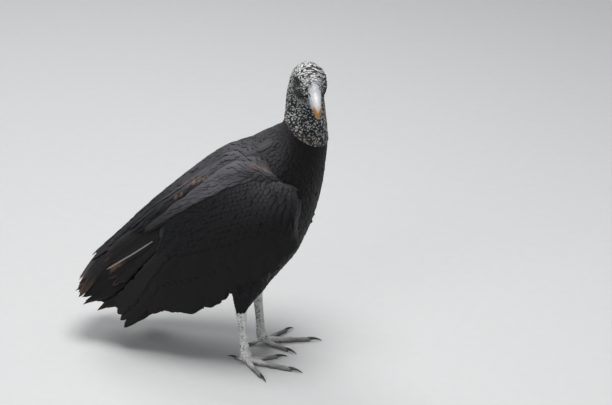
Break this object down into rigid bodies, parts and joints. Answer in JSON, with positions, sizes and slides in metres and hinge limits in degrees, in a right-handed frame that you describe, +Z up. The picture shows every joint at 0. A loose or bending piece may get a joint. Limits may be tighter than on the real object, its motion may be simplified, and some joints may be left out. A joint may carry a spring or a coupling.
{
  "type": "black vulture, still life-size model",
  "caption": "Life-size standing black vulture with folded wings and its head turned to its right, resting on both feet.",
  "frame": {"origin": "on the floor, under the middle of the whole bird's box", "axes": "+X ahead along the bird, from the tail to the breast; +Y to the bird's left; +Z up"},
  "size_m": [0.3802, 0.183, 0.4525],
  "materials": {
    "body_feathers": "soft black contour feathers with a faint blue-grey sheen, a few worn rusty brown",
    "flight_feathers": "long stiff black feathers with brown worn edges and paler shafts",
    "bare_skin": "bare wrinkled dark grey skin, the ridges pale and scaly",
    "bill_horn": "grey horn with a pale ivory tip",
    "eye": "wet dark brown eye",
    "leg_scales": "dry pale grey scales with dark creases",
    "claw_horn": "smooth blackish horn"
  },
  "bodies": {
    "root": {"head": "bare_skin", "neck": "bare_skin", "trunk": "body_feathers", "bill_upper": "bill_horn", "bill_lower": "bill_horn", "tail": "flight_feathers", "eye_right": "eye", "wing_right": "body_feathers", "wing_tip_right": "flight_feathers", "thigh_right": "body_feathers", "shank_right": "leg_scales", "toe_middle_right": "leg_scales", "claw_middle_right": "claw_horn", "toe_inner_right": "leg_scales", "claw_inner_right": "claw_horn", "toe_outer_right": "leg_scales", "claw_outer_right": "claw_horn", "toe_hind_right": "leg_scales", "claw_hind_right": "claw_horn", "eye_left": "eye", "wing_left": "body_feathers", "wing_tip_left": "flight_feathers", "thigh_left": "body_feathers", "shank_left": "leg_scales", "toe_middle_left": "leg_scales", "claw_middle_left": "claw_horn", "toe_inner_left": "leg_scales", "claw_inner_left": "claw_horn", "toe_outer_left": "leg_scales", "claw_outer_left": "claw_horn", "toe_hind_left": "leg_scales", "claw_hind_left": "claw_horn"}
  },
  "joints": []
}
